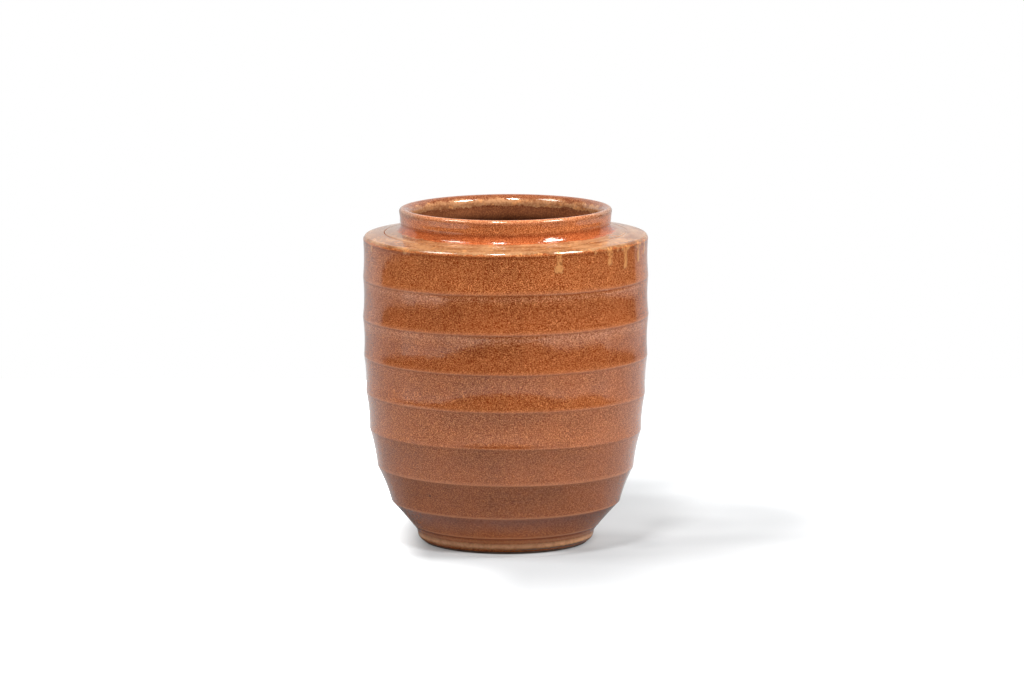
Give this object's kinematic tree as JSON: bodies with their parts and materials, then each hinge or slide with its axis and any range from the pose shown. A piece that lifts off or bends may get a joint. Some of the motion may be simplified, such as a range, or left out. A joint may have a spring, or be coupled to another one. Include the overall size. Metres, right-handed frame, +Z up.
{
  "type": "planter",
  "caption": "Round glazed stoneware planter: a banded wall that tapers to a small foot, a sloping shoulder and a short collar neck, open at the top to hold a plant in its pot.",
  "frame": {"origin": "centre of the standing ring under the foot, on the surface that the planter stands on", "axes": "+Z up along the axis of the pot; -Y is the side that the picture shows, with the longest glaze runs towards +X"},
  "size_m": [0.2286, 0.2286, 0.2688],
  "materials": {
    "bare_clay": "unglazed fired stoneware",
    "rust_glaze": "glossy, speckled",
    "liner_glaze": "glossy",
    "ochre_glaze": "glossy"
  },
  "bodies": {
    "root": {"stoneware_body": "bare_clay", "outer_glaze": "rust_glaze", "liner_glaze": "liner_glaze", "shoulder_overglaze": "ochre_glaze", "mouth_overglaze": "ochre_glaze"}
  },
  "joints": []
}
